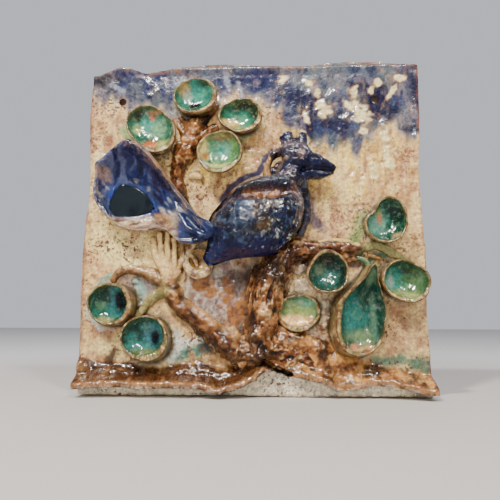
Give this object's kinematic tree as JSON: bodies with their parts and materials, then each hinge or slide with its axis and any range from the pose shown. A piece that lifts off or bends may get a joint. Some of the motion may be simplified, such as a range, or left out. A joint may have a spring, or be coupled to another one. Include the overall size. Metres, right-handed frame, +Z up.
{
  "type": "decorative wall plaque",
  "caption": "Square glazed stoneware wall plaque with a crested bird among cupped leaves and branches in high relief, and nail holes in the upper corners.",
  "frame": {"origin": "middle of the flat back, in the plane of the wall", "axes": "+Y points into the wall and is the back's outward normal, the front looks along -Y, +X is the viewer's right, +Z is up"},
  "size_m": [0.3016, 0.052, 0.3],
  "materials": {
    "glazed_stoneware": "glossy ceramic glaze over buff stoneware: cream, blue, green and brown, opaque",
    "pool_glass": "dark opaque glass melted into the tail, smooth as a mirror"
  },
  "bodies": {
    "root": {"plaque": "glazed_stoneware", "tail_glass": "pool_glass"}
  },
  "joints": []
}
